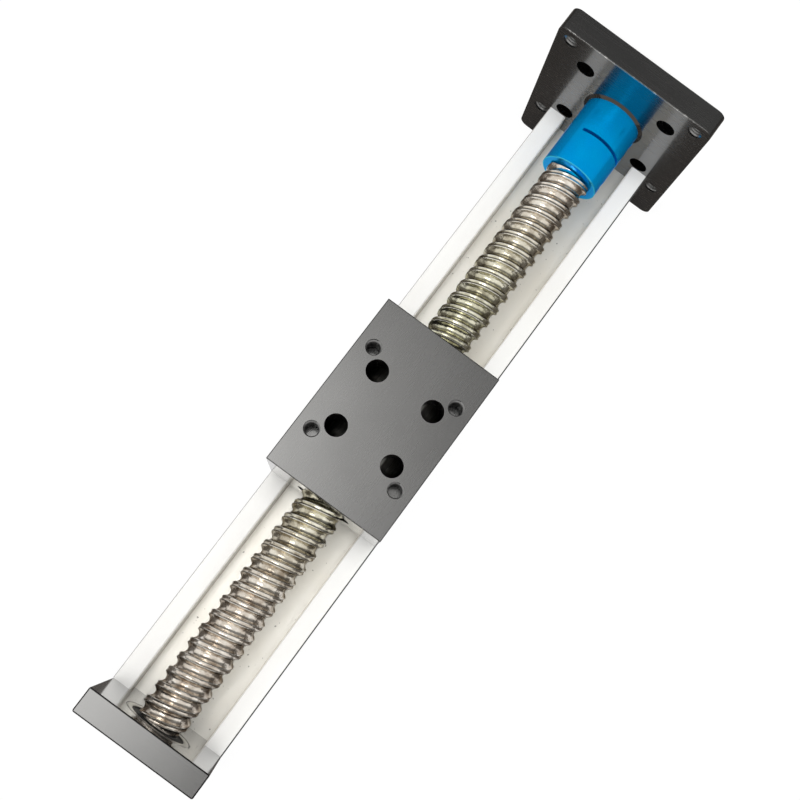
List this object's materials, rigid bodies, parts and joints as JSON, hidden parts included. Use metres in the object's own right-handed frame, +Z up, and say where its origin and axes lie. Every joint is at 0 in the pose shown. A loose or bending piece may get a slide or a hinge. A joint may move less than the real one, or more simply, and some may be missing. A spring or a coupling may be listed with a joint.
{
  "type": "ball screw linear module",
  "caption": "Linear motion module: a ball screw drives a drilled slider along a grooved channel between two end plates, with a flexible coupling for a motor.",
  "frame": {"origin": "middle of the underside of the module, on the plane it stands on", "axes": "+X along the screw from the idler plate to the motor plate, +Y across, +Z up from the underside to the slider top"},
  "size_m": [0.251, 0.057, 0.071],
  "materials": {
    "channel": "fine ground, pale",
    "end_plate": "black anodised, satin, fine ground",
    "slider": "dark grey anodised, fine ground",
    "rail_steel": "ground",
    "screw_steel": "ground and hardened, bright",
    "fastener": "black oxide",
    "coupling_blue": "blue anodised, turned",
    "dark_plastic": "moulded",
    "pale_plastic": "moulded",
    "seal_rubber": "moulded"
  },
  "bodies": {
    "base": {"base_channel": "channel", "motor_plate": "end_plate", "idler_plate": "end_plate", "motor_plate_screws": "fastener", "idler_plate_screws": "fastener", "guide_rail": "rail_steel", "guide_rail_screws": "fastener", "bearing_outer_ring": "rail_steel", "bearing_balls": "rail_steel", "bearing_cage": "dark_plastic", "bearing_seal_inner": "seal_rubber", "bearing_seal_outer": "seal_rubber"},
    "screw": {"ball_screw": "screw_steel", "bearing_inner_ring": "rail_steel", "shaft_circlip": "fastener", "shaft_coupling": "coupling_blue", "coupling_set_screws": "fastener"},
    "carriage": {"slider_block": "slider", "slider_screws": "fastener", "ball_nut": "screw_steel", "nut_deflectors": "dark_plastic", "nut_wiper_front": "pale_plastic", "nut_wiper_rear": "pale_plastic", "nut_lock_ring": "fastener", "nut_set_screws": "fastener", "runner_block": "rail_steel", "runner_cap_front": "dark_plastic", "runner_cap_rear": "dark_plastic", "runner_cap_screws": "fastener", "runner_seals": "seal_rubber"}
  },
  "joints": [
    {"name": "carriage_slide", "type": "slide", "parent": "base", "child": "carriage", "axis": [1, 0, 0], "range_m": [-0.077, 0.07]},
    {"name": "screw_spin", "type": "hinge", "parent": "base", "child": "screw", "pos_m": [0, 0, 0.0425], "axis": [1, 0, 0], "range_deg": [-2550, 2800]}
  ],
  "couplings": [
    {"joint": "screw_spin", "follows": "carriage_slide", "rad_per_m": -628.32}
  ]
}
